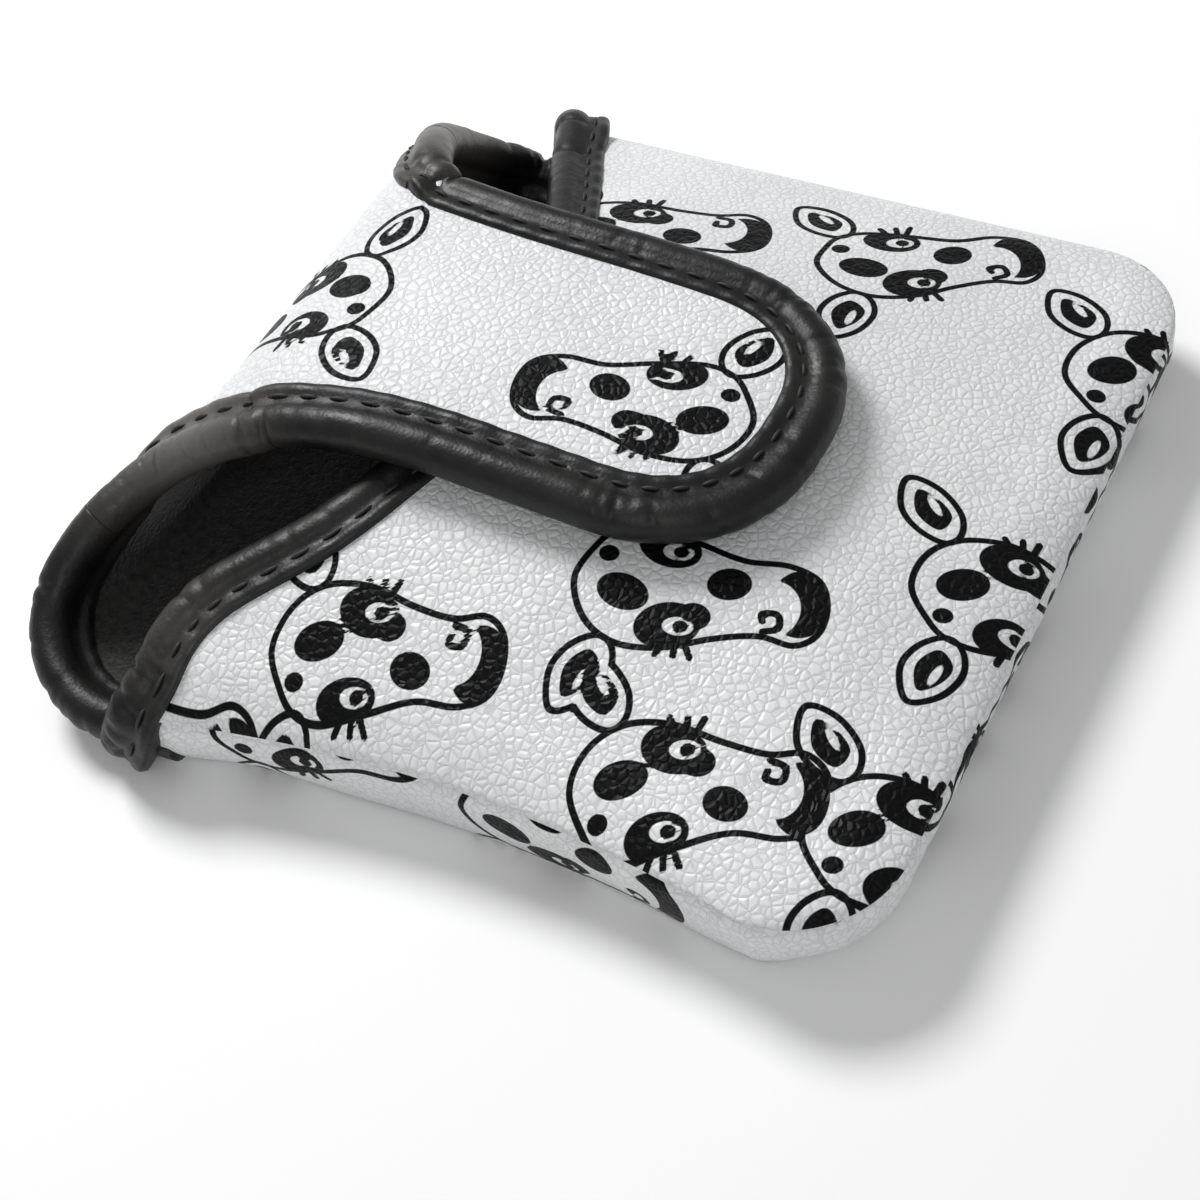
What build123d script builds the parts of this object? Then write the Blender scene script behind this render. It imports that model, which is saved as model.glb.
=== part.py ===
from build123d import *

import os
from functools import cache

# A soft, padded cover for a square putter head.
# X runs from the open mouth to the closed end, Y runs across, Z is up.
# The origin is on the flat underside, below the middle of the mouth line.

# Driving dimensions, in millimetres
BODY_LENGTH = 111.4
NEAR_SIDE = -66.0
FAR_SIDE = 67.5
SIDE_WAIST = 6.8
WAIST_AT = 52.0
FAR_TAPER = 0.035
END_CORNER = 16.0
SEAM_HEIGHT = 14.0
SEAM_ROLL = 0.7
WALL_LEAN = 3.0

CROWN = 16.3
CROWN_FROM = 20.0
CROWN_POWER = 2.2
CROWN_TILT = 4.0

LEATHER = 1.2
FOAM = 2.2
FLEECE = 1.0

BEAD = 6.7
BEAD_PROUD = 1.1
HEM = 2.0
HEM_THICKNESS = 0.8
CORE_WALL = 1.1

MOUTH_DEPTH = 40.0
MOUTH_RISE = 30.0
MOUTH_POWER = 1.3
GUSSET_FRONT = 10.0
PADDING_NOTCH = (2.8, 10.0)

LIP_BASE = -14.0
LIP_REACH = -27.5
BEND_HEIGHT = 11.0
JOINT_GAP = 0.3

FLAP_TOP = 38.0
FLAP_DROP = 7.5
FLAP_FLAT = 12.0
FLAP_TIP = 80.8
FLAP_HALF = 26.2
FLAP_FLARE = 3.8
FLARE_LENGTH = 35.0
TIP_LENGTH = 25.8
TIP_POWER = 2.3

MAGNET_AT = 62.0
MAGNET_SPREAD = 9.0
MAGNET_RADIUS = 7.0
MAGNET_THICKNESS = 1.0
SLEEVE_WALL = 0.35

STITCH_PITCH = 4.7
STITCH = (2.9, 0.7, 0.4)
STITCH_LIFT = 0.2

BIG = 200.0
WALL = LEATHER + FOAM + FLEECE
LAYERS = {
    "panel": (0.0, LEATHER),
    "foam": (LEATHER, LEATHER + FOAM),
    "lining": (LEATHER + FOAM, WALL),
}
BEAD_LAYER = (-BEAD_PROUD, BEAD - BEAD_PROUD)
HEM_LAYER = (-HEM_THICKNESS, 0.0)
CORE_LAYER = (CORE_WALL - BEAD_PROUD, BEAD - BEAD_PROUD - CORE_WALL)


# Shape of the body


def near_edge(x):
    """The near side seam, drawn in at its middle."""
    x = min(max(x, 0.0), 2 * WAIST_AT)
    return NEAR_SIDE + SIDE_WAIST * (1 - ((x - WAIST_AT) / WAIST_AT) ** 2)


def far_edge(x):
    """The other side seam, straight and closing in slightly to the end."""
    return FAR_SIDE - FAR_TAPER * x


def crown_height(x, y):
    """Height of the domed top panel's outer face above the underside."""
    middle = (near_edge(x) + far_edge(x)) / 2
    across = (y - middle) / ((far_edge(x) - near_edge(x)) / 2)
    along = max(x - CROWN_FROM, 0.0) / (BODY_LENGTH - CROWN_FROM)
    crown = CROWN * (1 - along**2) * (1 - abs(across) ** CROWN_POWER)
    tilt = CROWN_TILT * across * (1 - across**2) * max(0.0, 1 - along)
    return SEAM_HEIGHT + SEAM_ROLL + crown - tilt


def mouth_line(y):
    """How far back from the mouth the scooped edge of the top panel lies."""
    return MOUTH_DEPTH - MOUTH_RISE * (abs(y) / -NEAR_SIDE) ** MOUTH_POWER


def flap_height(x):
    """Height of the flap's outer face, which sinks towards the tip."""
    fall = max(x - FLAP_FLAT, 0.0) / (FLAP_TIP - FLAP_FLAT)
    return FLAP_TOP - FLAP_DROP * fall**1.8


def mouth_points(outset):
    """The scooped edge, moved towards the mouth by outset."""
    points = []
    for step in range(-11, 12):
        y = 8.0 * step
        slope = (mouth_line(y + 0.5) - mouth_line(y - 0.5)) / 1.0
        stretch = (1 + slope**2) ** 0.5
        points.append((mouth_line(y) - outset / stretch, y + outset * slope / stretch))
    return points


def box_part(low, high):
    """A box between two corners."""
    with BuildPart() as block:
        middle = [(a + b) / 2 for a, b in zip(low, high)]
        with Locations(tuple(middle)):
            Box(*[b - a for a, b in zip(low, high)])
    return block.part


def tray_outline(height, inset):
    """Plan of the body at one height, all its sides moved in by inset."""
    side = WALL_LEAN * (1 - height / SEAM_HEIGHT) + inset
    front = LIP_BASE + (LIP_REACH - LIP_BASE) * height / BEND_HEIGHT + inset
    end = BODY_LENGTH - side
    near = near_edge(0) + side
    far = far_edge(0) - side
    turn = -front / 2
    side_end = BODY_LENGTH - END_CORNER
    bulge = 0.3 * END_CORNER + 0.7 * side
    near_end = near_edge(side_end) + side
    far_end = far_edge(side_end) - side
    end_near = (end, near_edge(side_end) + END_CORNER)
    end_far = (end, far_edge(side_end) - END_CORNER)
    with BuildSketch(Plane.XY.offset(height)) as outline:
        with BuildLine():
            ThreePointArc((0, near), (WAIST_AT, near_edge(WAIST_AT) + side), (side_end, near_end))
            near_corner = (BODY_LENGTH - bulge, near_edge(side_end) + bulge)
            ThreePointArc((side_end, near_end), near_corner, end_near)
            Line(end_near, end_far)
            far_corner = (BODY_LENGTH - bulge, far_edge(side_end) - bulge)
            ThreePointArc(end_far, far_corner, (side_end, far_end))
            Line((side_end, far_end), (0, far))
            Line((0, far), (front + turn, far))
            RadiusArc((front + turn, far), (front, far - turn), -turn)
            Line((front, far - turn), (front, near + turn))
            RadiusArc((front, near + turn), (front + turn, near), -turn)
            Line((front + turn, near), (0, near))
        make_face()
    return outline.sketch


@cache
def tray(inset, bottom=0.0):
    """The body below the top seam, as a solid that is inset all round."""
    with BuildPart() as block:
        loft([tray_outline(0, inset), tray_outline(SEAM_HEIGHT, inset)], ruled=True)
    floor = box_part((-BIG, -BIG, bottom), (BIG, BIG, BIG))
    return block.part & floor


@cache
def above_seam(inset):
    """Everything over the top seam and inside its outline."""
    with BuildPart() as block:
        extrude(tray_outline(SEAM_HEIGHT, inset), amount=40)
    return block.part


@cache
def dome(drop):
    """A block whose upper face is the crowned top, lowered by drop."""
    rows = []
    for column in range(16):
        x = -20.0 + 10.0 * column
        middle = (near_edge(x) + far_edge(x)) / 2
        half = (far_edge(x) - near_edge(x)) / 2
        row = []
        for step in range(-8, 9):
            y = middle + half * step / 6.5
            row.append((x, y, crown_height(x, y) - drop))
        rows.append(row)
    crown = Face.make_surface_from_array_of_points(rows, tol=0.02)
    with BuildPart() as block:
        extrude(crown, amount=60, dir=(0, 0, -1))
    return block.part


@cache
def mouth_opening(outset):
    """The region in front of the scooped edge, as a tall prism."""
    edge = mouth_points(outset)
    with BuildSketch() as region:
        with BuildLine():
            Spline(*edge)
            Polyline(edge[-1], (-90, edge[-1][1]), (-90, edge[0][1]), edge[0])
        make_face()
    with BuildPart() as block:
        extrude(region.sketch, amount=BIG)
    return block.part


# Shape of the strap that rises from the bottom panel, and of its side edges

STRAP_SECTION = [(-26, 5), (-27.5, 11), (-25.6, 17), (-20.5, 23), (-14, 28.5), (-8.5, 33), (-3, 36.6), (4, 38)]
STRAP_EDGE = [(55, 8.5), (49, 14), (43, 18.5), (38, 25), (34, 29), (31, 33), (30, 38)]
LIP_EDGE = [(70, 4), (66, 4.5), (60, 6), (55, 8.5), (51.5, 11.5), (49, 14)]


def shifted(points, amount):
    """A row of points moved to its right by amount."""
    moved = []
    last = len(points) - 1
    for index, (a, b) in enumerate(points):
        before = points[max(index - 1, 0)]
        after = points[min(index + 1, last)]
        run = Vector(after[0] - before[0], after[1] - before[1]).normalized()
        moved.append((a + run.Y * amount, b - run.X * amount))
    return moved


@cache
def strap_block(drop):
    """A solid whose front face is the strap's outer face, moved in by drop."""
    curve = shifted(STRAP_SECTION, drop)
    with BuildSketch(Plane.XZ) as section:
        with BuildLine():
            Spline(*curve)
            Polyline(curve[-1], (24, curve[-1][1]), (24, -6), (curve[0][0], -6), curve[0])
        make_face()
    with BuildPart() as block:
        extrude(section.sketch, amount=80, both=True)
    return block.part


@cache
def strap_front(inset):
    """The strap seen from the front, its side edges moved in by inset."""
    edge = shifted(STRAP_EDGE, -inset)
    edge = [(max(y, edge[-1][0]), z) for y, z in edge]
    mirrored = [(-y, z) for y, z in edge]
    with BuildSketch(Plane.YZ) as front:
        with BuildLine():
            Spline(*edge)
            Polyline(edge[-1], (edge[-1][0], 60), (-edge[-1][0], 60), mirrored[-1])
            Spline(*mirrored)
            Polyline(mirrored[0], (-edge[0][0], -8), (edge[0][0], -8), edge[0])
        make_face()
    with BuildPart() as block:
        extrude(front.sketch, amount=90, both=True)
    return block.part


def lip_front(inset):
    """The low side lips seen from the front, their edge moved down by inset."""
    edge = [(y, z - inset) for y, z in LIP_EDGE]
    mirrored = [(-y, z) for y, z in edge]
    with BuildSketch(Plane.YZ) as front:
        with BuildLine():
            Polyline(*edge, *reversed(mirrored), (-70, -20), (70, -20), edge[0])
        make_face()
    with BuildPart() as block:
        extrude(front.sketch, amount=90, both=True)
    return block.part


# Shape of the flap that lies over the top panel


def flap_half_width(x, inset):
    """Half the flap's width at x, its edge moved in by inset."""
    flare = FLAP_FLARE * max(0.0, 1 - x / FLARE_LENGTH) ** 2
    return FLAP_HALF + flare - inset


@cache
def flap_plan(inset):
    """The flap seen from above, as a tall prism."""
    start = FLAP_TIP - TIP_LENGTH
    side = [(x, flap_half_width(x, inset)) for x in (-1.0, 12.0, 24.0, 36.0, start)]
    half = FLAP_HALF - inset
    round_end = []
    for step in range(-8, 9):
        y = half * step / 8.5
        x = start + (TIP_LENGTH - inset) * (1 - abs(y / half) ** TIP_POWER) ** (1 / TIP_POWER)
        round_end.append((x, y))
    path = [(x, -y) for x, y in side] + round_end + list(reversed(side))
    with BuildSketch() as plan:
        with BuildLine():
            Spline(*path)
            Line(path[-1], path[0])
        make_face()
    with BuildPart() as block:
        extrude(plan.sketch, amount=BIG)
    return block.part


@cache
def flap_block(drop):
    """A solid whose upper face is the flap's outer face, lowered by drop."""
    curve = [(x, flap_height(x) - drop) for x in (-6, 6, 18, 30, 42, 54, 66, 78, 90)]
    with BuildSketch(Plane.XZ) as section:
        with BuildLine():
            Spline(*curve)
            Polyline(curve[-1], (90, 10), (-6, 10), curve[0])
        make_face()
    with BuildPart() as block:
        extrude(section.sketch, amount=60, both=True)
    return block.part


def finish(part, name):
    """Name one finished piece and write it."""
    part.label = name
    export_step(part, f"parts/{name}.step")


def between(solid_at, layer):
    """What lies between a block lowered by one depth and by another."""
    return solid_at(layer[0]) - solid_at(layer[1])


os.makedirs("parts", exist_ok=True)

BACK_HALF = box_part((GUSSET_FRONT, -BIG, -BIG), (BIG, BIG, BIG))
LOW_FRONT = box_part((-BIG, -BIG, 0), (GUSSET_FRONT, BIG, BEND_HEIGHT - JOINT_GAP))
STRAP_SPACE = box_part((-BIG, -BIG, BEND_HEIGHT), (0, BIG, BIG))
FLAP_SPACE = box_part((JOINT_GAP, -BIG, 0), (BIG, BIG, BIG))
RAW_MOUTH = mouth_opening(HEM)

# The magnets lie in the foam, square to the face above them


def magnet_plane(height_at, y, drop):
    """A plane on a face at the magnet's place, lowered along its normal."""
    x = MAGNET_AT
    tilt_x = (height_at(x + 1, y) - height_at(x - 1, y)) / 2
    tilt_y = (height_at(x, y + 1) - height_at(x, y - 1)) / 2
    normal = Vector(-tilt_x, -tilt_y, 1).normalized()
    return Plane(Vector(x, y, height_at(x, y)) - normal * drop, z_dir=normal)


def discs(planes, radius, thickness):
    """One disc centred on each plane."""
    with BuildPart() as group:
        for plane in planes:
            with BuildSketch(plane.offset(-thickness / 2)):
                Circle(radius)
            extrude(amount=thickness)
    return group.part


def magnet_set(height_at, owner):
    """A pair of sewn-in magnets with their sleeves; gives the space they fill."""
    depth = LEATHER + FOAM / 2
    planes = [magnet_plane(height_at, y, depth) for y in (-MAGNET_SPREAD, MAGNET_SPREAD)]
    magnets = discs(planes, MAGNET_RADIUS, MAGNET_THICKNESS)
    space = discs(planes, MAGNET_RADIUS + SLEEVE_WALL, MAGNET_THICKNESS + 2 * SLEEVE_WALL)
    finish(magnets, f"{owner}_magnets")
    finish(space - magnets, f"{owner}_magnet_sleeves")
    return space


flap_pocket = magnet_set(lambda x, y: flap_height(x), "flap")
top_pocket = magnet_set(crown_height, "top")

# Top panel: leather, foam and fleece, each cut back to the scooped edge

for layer_name, (outer, inner) in LAYERS.items():
    outside = dome(outer) & above_seam(outer)
    inside = dome(inner) & above_seam(inner)
    with BuildPart() as top_layer:
        add(outside - inside - RAW_MOUTH)
        if layer_name == "foam":
            add(top_pocket, mode=Mode.SUBTRACT)
    finish(top_layer.part, f"top_{layer_name}")

# Low side lips: a padded bead along the turned-up front of the bottom panel

lip_ring = between(tray, BEAD_LAYER) & LOW_FRONT
lip_core_ring = between(tray, CORE_LAYER) & LOW_FRONT
with BuildPart() as lip_binding_core:
    add(lip_core_ring & (lip_front(CORE_WALL) - lip_front(BEAD - CORE_WALL)))
    add(box_part((-BIG, -BIG, LEATHER), (BIG, BIG, BIG)), mode=Mode.INTERSECT)
with BuildPart() as lip_binding:
    add(lip_ring & (lip_front(0) - lip_front(BEAD)))
lip_bead = lip_binding.part
finish(lip_bead - lip_binding_core.part, "lip_binding")
finish(lip_binding_core.part, "lip_binding_core")

# Side gusset and bottom panel: three layers each, the padding notched for the rolled edge

notch = box_part((0, -BIG, PADDING_NOTCH[1]), (GUSSET_FRONT + PADDING_NOTCH[0], BIG, BIG))
for layer_name, (outer, inner) in LAYERS.items():
    wall = tray(outer, outer) - tray(inner)
    plate = tray(inner, outer) & box_part((-BIG, -BIG, 0), (BIG, BIG, inner))
    with BuildPart() as gusset_layer:
        add(wall & BACK_HALF)
        if layer_name != "panel":
            add(notch, mode=Mode.SUBTRACT)
    gusset_name = "side_gusset" if layer_name == "panel" else f"gusset_{layer_name}"
    finish(gusset_layer.part, gusset_name)
    with BuildPart() as bottom_layer:
        add(plate)
        add(wall & LOW_FRONT & lip_front(BEAD))
        add(lip_bead, mode=Mode.SUBTRACT)
    finish(bottom_layer.part, f"bottom_{layer_name}")

# Strap: the bottom panel carried up round the mouth

for layer_name, layer in LAYERS.items():
    with BuildPart() as strap_layer:
        add(between(strap_block, layer) & strap_front(BEAD) & STRAP_SPACE)
    finish(strap_layer.part, f"strap_{layer_name}")

with BuildPart() as strap_binding_core:
    add((between(strap_block, CORE_LAYER) & STRAP_SPACE) & strap_front(CORE_WALL))
    add(strap_front(BEAD - CORE_WALL), mode=Mode.SUBTRACT)
with BuildPart() as strap_binding:
    add((between(strap_block, BEAD_LAYER) & STRAP_SPACE) & strap_front(0))
    add(strap_front(BEAD), mode=Mode.SUBTRACT)
    hem_band = strap_front(BEAD) - strap_front(BEAD + HEM)
    add(between(strap_block, HEM_LAYER) & hem_band & STRAP_SPACE)
finish(strap_binding.part - strap_binding_core.part, "strap_binding")
finish(strap_binding_core.part, "strap_binding_core")

# Flap: the strap carried on over the top panel

flap_shape = flap_plan(BEAD) & FLAP_SPACE
for layer_name, layer in LAYERS.items():
    with BuildPart() as flap_layer:
        add(between(flap_block, layer) & flap_shape)
        if layer_name == "foam":
            add(flap_pocket, mode=Mode.SUBTRACT)
    finish(flap_layer.part, f"flap_{layer_name}")

with BuildPart() as flap_binding_core:
    core_band = flap_plan(CORE_WALL) - flap_plan(BEAD - CORE_WALL)
    add(between(flap_block, CORE_LAYER) & core_band & FLAP_SPACE)
with BuildPart() as flap_binding:
    bead_band = flap_plan(0) - flap_plan(BEAD)
    hem_band = flap_plan(BEAD) - flap_plan(BEAD + HEM)
    add(between(flap_block, BEAD_LAYER) & bead_band & FLAP_SPACE)
    add(between(flap_block, HEM_LAYER) & hem_band & FLAP_SPACE)
finish(flap_binding.part - flap_binding_core.part, "flap_binding")
finish(flap_binding_core.part, "flap_binding_core")

# Binding round the scooped edge of the top panel

CORE_OUT = HEM + CORE_WALL
CORE_IN = HEM + BEAD - CORE_WALL
with BuildPart() as mouth_binding_core:
    core_band = mouth_opening(CORE_OUT) - mouth_opening(CORE_IN)
    add(between(dome, CORE_LAYER) & core_band)
    add(above_seam(CORE_WALL), mode=Mode.INTERSECT)
with BuildPart() as mouth_binding:
    bead_band = RAW_MOUTH - mouth_opening(HEM + BEAD)
    hem_band = mouth_opening(0) - RAW_MOUTH
    side_limit = tray_outline(SEAM_HEIGHT, 0)
    add(between(dome, BEAD_LAYER) & bead_band)
    add(between(dome, HEM_LAYER) & hem_band)
    extrude(side_limit, amount=40, both=True, mode=Mode.INTERSECT)
finish(mouth_binding.part - mouth_binding_core.part, "mouth_binding")
finish(mouth_binding_core.part, "mouth_binding_core")

# Thread: one short stitch after another along the middle of each hem


def stitch_row(path, lift):
    """Stitches evenly spaced along a path, lying on the face that lift gives."""
    length = sum((b - a).length for a, b in zip(path, path[1:]))
    count = int(length / STITCH_PITCH)
    with BuildPart() as row:
        travelled = 0.0
        placed = 0
        for a, b in zip(path, path[1:]):
            span = (b - a).length
            while placed < count and (placed + 0.5) * length / count <= travelled + span:
                share = ((placed + 0.5) * length / count - travelled) / span
                along = (b - a).normalized()
                place = a + (b - a) * share
                up = lift(place)
                middle = place + up * (STITCH_LIFT + STITCH[2] / 2)
                with Locations(Plane(middle, x_dir=along, z_dir=up)):
                    Box(*STITCH)
                placed += 1
            travelled += span
    return row.part


def dome_up(place):
    """Outward direction on the crowned top."""
    tilt_x = crown_height(place.X + 1, place.Y) - crown_height(place.X - 1, place.Y)
    tilt_y = crown_height(place.X, place.Y + 1) - crown_height(place.X, place.Y - 1)
    return Vector(-tilt_x / 2, -tilt_y / 2, 1).normalized()


def flap_up(place):
    """Outward direction on the flap."""
    tilt = flap_height(place.X + 1) - flap_height(place.X - 1)
    return Vector(-tilt / 2, 0, 1).normalized()


SEAM_LINE = HEM / 2
mouth_path = []
for x, y in mouth_points(SEAM_LINE):
    if abs(y) < -NEAR_SIDE - BEAD:
        mouth_path.append(Vector(x, y, crown_height(x, y) + HEM_THICKNESS))
finish(stitch_row(mouth_path, dome_up), "mouth_stitches")

flap_path = []
stitch_inset = BEAD + SEAM_LINE
for x in (2, 12, 24, 36, 46, FLAP_TIP - TIP_LENGTH):
    flap_path.append((x, -flap_half_width(x, stitch_inset)))
for step in range(-11, 12):
    y = (FLAP_HALF - stitch_inset) * step / 12
    bend = (1 - abs(step / 12) ** TIP_POWER) ** (1 / TIP_POWER)
    flap_path.append((FLAP_TIP - TIP_LENGTH + (TIP_LENGTH - stitch_inset) * bend, y))
for x in (FLAP_TIP - TIP_LENGTH, 46, 36, 24, 12, 2):
    flap_path.append((x, flap_half_width(x, stitch_inset)))
flap_path = [Vector(x, y, flap_height(x) + HEM_THICKNESS) for x, y in flap_path]
finish(stitch_row(flap_path, flap_up), "flap_stitches")
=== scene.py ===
# %% [markdown]
# # A padded cover for a square putter head
#
# The real cover is cut from printed leather-look sheet, backed with foam and lined with
# fleece. A black rolled edge is sewn round its open mouth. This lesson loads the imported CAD
# model as a fixed frame, and then makes each soft piece as its own mesh, because sheet goods
# are curved shells that follow a few shape rules rather than blocks to be carved.

# %% Load the frame
import bpy
import numpy as np
from mathutils import Matrix, Vector


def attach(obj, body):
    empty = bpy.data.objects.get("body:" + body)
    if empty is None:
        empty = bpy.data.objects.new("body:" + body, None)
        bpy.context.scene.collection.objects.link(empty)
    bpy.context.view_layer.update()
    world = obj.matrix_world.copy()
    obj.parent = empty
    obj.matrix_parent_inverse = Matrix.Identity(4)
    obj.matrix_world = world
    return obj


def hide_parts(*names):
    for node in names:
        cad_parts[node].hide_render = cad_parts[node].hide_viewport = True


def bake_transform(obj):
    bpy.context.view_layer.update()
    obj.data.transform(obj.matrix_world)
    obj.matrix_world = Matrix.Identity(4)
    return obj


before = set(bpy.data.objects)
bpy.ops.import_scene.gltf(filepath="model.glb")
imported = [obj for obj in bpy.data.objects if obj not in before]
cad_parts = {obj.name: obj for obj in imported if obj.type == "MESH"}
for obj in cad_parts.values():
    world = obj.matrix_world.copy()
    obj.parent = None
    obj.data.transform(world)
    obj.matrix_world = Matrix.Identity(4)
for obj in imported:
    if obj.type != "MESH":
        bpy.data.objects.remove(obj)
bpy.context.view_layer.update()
MM = 0.001

# %% [markdown]
# ## Camera
#
# The cover is looked at from above its closed end, over one side seam. The camera turns
# round a point just above the table, with a slight roll, through a long lens.

# %% Camera
LOOK_AT = Vector((0.05007, -0.01649, 0.00379))
AZIMUTH, ELEVATION, ROLL = (np.radians(a) for a in (37.73, 48.05, -13.56))
DISTANCE = 0.3335
LENS, SENSOR = 70.1, 36.0


def aim_camera():
    """A camera on a sphere round the cover, rolled about its own line of sight."""
    back = Vector((np.sin(AZIMUTH) * np.cos(ELEVATION),
                   -np.cos(AZIMUTH) * np.cos(ELEVATION), np.sin(ELEVATION)))
    level = Vector((0, 0, 1)).cross(back).normalized()
    upright = back.cross(level)
    right = level * np.cos(ROLL) + upright * np.sin(ROLL)
    up = upright * np.cos(ROLL) - level * np.sin(ROLL)
    turn = Matrix((right, up, back)).transposed().to_4x4()
    data = bpy.data.cameras.new("view")
    data.lens, data.sensor_width = LENS, SENSOR
    camera = bpy.data.objects.new("view", data)
    bpy.context.scene.collection.objects.link(camera)
    camera.matrix_world = Matrix.Translation(LOOK_AT + back * DISTANCE) @ turn
    bpy.context.scene.camera = camera


aim_camera()

# %% [markdown]
# ## Shape rules
#
# A sewn cover has few free choices: the plan of its seams, how high the top panel crowns,
# and the path of the bottom panel as it turns up into the strap and flap. Each is a small
# formula or a short list here, so that leather, foam, fleece and edging all agree.

# %% Seams and the crowned top
LENGTH, NEAR, FAR = 111.4, -66.0, 67.5
CORNER = 16.0
SEAM, LEAN = 14.0, 2.6
WALL, LEATHER, FOAM = 4.4, 1.2, 2.2
BEAD_RADIUS, HEM = 3.2, 2.3
CORE_RADIUS = 2.1
PITCH, STITCH = 4.7, 2.9


def near_edge(x):
    x = np.clip(x, 0.0, 104.0)
    return NEAR + 6.8 * (1 - ((x - 52.0) / 52.0) ** 2)


def far_edge(x):
    return FAR - 0.035 * x


def crown_height(x, y):
    """The domed top panel's outer face."""
    middle, half = (near_edge(x) + far_edge(x)) / 2, (far_edge(x) - near_edge(x)) / 2
    across = (y - middle) / half
    along = np.maximum(x - 20.0, 0) / (LENGTH - 20.0)
    crown = 16.3 * (1 - along**2) * (1 - np.abs(across) ** 2.2)
    return SEAM + 0.7 + crown - 4.0 * across * (1 - across**2) * np.clip(1 - along, 0, 1)


def flap_height(x):
    """The flap's outer face, which sinks from the fold to the tip."""
    return 38.0 - 7.5 * (np.maximum(x - 12.0, 0) / 68.8) ** 1.8


def top_height(x, y):
    """The crown as it lies, a little lumpy and fuller along its seams."""
    gap = np.maximum(seam_gap(x, y), 0)
    full = crown_height(x, y) + 0.5 * np.exp(-(((gap - 6.0) / 4.0) ** 2))
    return full + 0.16 * noise(x, y, 34.0, 3) * np.clip(gap / 8.0, 0, 1)


def mouth_line(y):
    """The scooped front edge of the top panel, which pulls forward by the near corner."""
    return 40.0 - 30.0 * (np.abs(y) / 66.0) ** 1.3 - 6.2 * np.exp(-(((y + 52.0) / 10.5) ** 2))


def wall_inset(x, drop):
    """How far the gusset has turned under, from its top seam down to the floor."""
    by_mouth = 2.4 * np.exp(-(((x - 14.0) / 12.0) ** 2))
    by_end = 4.4 * np.clip((x - 84.0) / 20.0, 0, 1) ** 2.5
    return LEAN * drop + (by_mouth + by_end) * drop**3


def seam_gap(x, y):
    """Distance inward from the side and end seams, with their rounded corners."""
    gap = np.minimum(np.minimum(y - near_edge(x), far_edge(x) - y), LENGTH - x)
    cx = LENGTH - CORNER
    for cy, side in ((near_edge(cx) + CORNER, -1), (far_edge(cx) - CORNER, 1)):
        corner = (x > cx) & (side * (y - cy) > 0)
        gap = np.where(corner, CORNER - np.hypot(x - cx, y - cy), gap)
    return gap


def noise(x, y, size, seed, octaves=3):
    """Smooth random height, from a few seeded waves in many directions."""
    rng = np.random.default_rng(seed)
    total = 0
    for octave in range(octaves):
        for _ in range(5):
            angle, phase = rng.uniform(0, 2 * np.pi, 2)
            wave = 2 * np.pi * 2**octave / size * rng.uniform(0.7, 1.3)
            total = total + np.sin((x * np.cos(angle) + y * np.sin(angle)) * wave + phase) / 2**octave
    return total / 5


print("crown over the mouth, mm:", round(float(crown_height(20.0, 0.0)), 1))

# %% [markdown]
# ## Turning a grid of points into a sheet
#
# A sheet is a grid of points with a thickness. The outer face is the grid, the inner face is
# the same grid moved in along its normals, and a rim closes the two, so each layer is a
# closed shell of its own.

# %% Sheets
def unit(v):
    return v / np.maximum(np.linalg.norm(v, axis=-1, keepdims=True), 1e-9)


def grid_normals(points):
    """Outward directions of a grid of points."""
    return unit(np.cross(np.gradient(points, axis=0), np.gradient(points, axis=1)))


def add_mesh(name, verts, faces):
    """A new smooth-shaded object from points in millimetres."""
    mesh = bpy.data.meshes.new(name)
    mesh.from_pydata((np.asarray(verts) * MM).tolist(), [], faces)
    mesh.polygons.foreach_set("use_smooth", np.ones(len(mesh.polygons), bool))
    piece = bpy.data.objects.new(name, mesh)
    bpy.context.scene.collection.objects.link(piece)
    return piece


def point_values(piece, name, values):
    """A number kept at every point, for a material to read."""
    layer = piece.data.attributes.new(name, "FLOAT", "POINT")
    layer.data.foreach_set("value", np.asarray(values, np.float32).ravel())


def quads(rows, cols, start=0, flip=False, wrap=False):
    """Faces of a grid of points; wrap joins the last column to the first."""
    i, j = np.meshgrid(np.arange(rows - 1), np.arange(cols if wrap else cols - 1), indexing="ij")
    k = (j + 1) % cols
    faces = np.stack([i * cols + j, (i + 1) * cols + j, (i + 1) * cols + k, i * cols + k], -1)
    faces = faces.reshape(-1, 4) + start
    return (faces[:, ::-1] if flip else faces).tolist()


def sheet(name, outer, thickness, normals=None, ink=None):
    """A closed shell whose outer face is the grid; ink holds the print's distances per point."""
    rows, cols = outer.shape[:2]
    normals = grid_normals(outer) if normals is None else normals
    inner = outer - normals * thickness
    count = rows * cols
    verts = np.concatenate([outer.reshape(-1, 3), inner.reshape(-1, 3)])
    faces = quads(rows, cols) + quads(rows, cols, count, flip=True)
    ring = [j for j in range(cols)]
    ring += [i * cols + cols - 1 for i in range(1, rows)]
    ring += [(rows - 1) * cols + j for j in range(cols - 2, -1, -1)]
    ring += [i * cols for i in range(rows - 2, 0, -1)]
    for a, b in zip(ring, ring[1:] + ring[:1]):
        faces.append([a, b, b + count, a + count])
    piece = add_mesh(name, verts, faces)
    if ink is not None:
        for key, values in zip(("fill", "face", "ear"), ink):
            point_values(piece, key, np.concatenate([values.reshape(-1), np.full(count, 9.0)]))
    return piece


# %% [markdown]
# ## The print
#
# The sheet is printed with line drawings of cow heads before it is cut. A picture file could
# carry the print, but lines stored as a distance stay sharp at any size: every point of the
# sheet holds how far it is from the nearest filled shape, face outline and ear outline, and
# the material inks the shapes and a pen's width along the outlines. One head is drawn once,
# from closed curves, ovals and pen strokes.

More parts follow.
